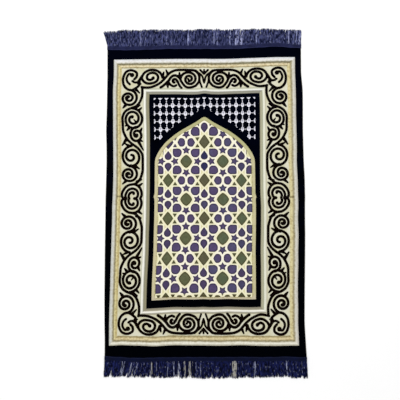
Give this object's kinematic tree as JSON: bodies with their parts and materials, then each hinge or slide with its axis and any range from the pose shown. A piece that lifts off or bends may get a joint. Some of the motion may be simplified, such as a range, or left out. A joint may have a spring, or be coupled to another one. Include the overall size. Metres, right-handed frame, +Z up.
{
  "type": "prayer rug",
  "caption": "Rectangular woven prayer rug laid flat, with an arched field, a scroll border and a fringe at each end, to kneel on.",
  "frame": {"origin": "on the floor under the middle of the rug, at the bottom centre of its bounding box", "axes": "+Y towards the point of the woven arch (the rug's head), +X to the right of someone who faces that way, +Z up out of the face"},
  "size_m": [0.7101, 1.2418, 0.0053],
  "materials": {
    "cloth": "thick woven cloth with a low navy velvet pile on a flat cream, gold and silver-grey ground",
    "tape": "matte ribbed navy tape",
    "fringe": "loose twisted navy yarn with a soft sheen"
  },
  "bodies": {
    "root": {"rug_cloth": "cloth", "fringe_tape_head": "tape", "fringe_tape_foot": "tape", "fringe_comb_head": "fringe", "fringe_comb_foot": "fringe"}
  },
  "joints": []
}
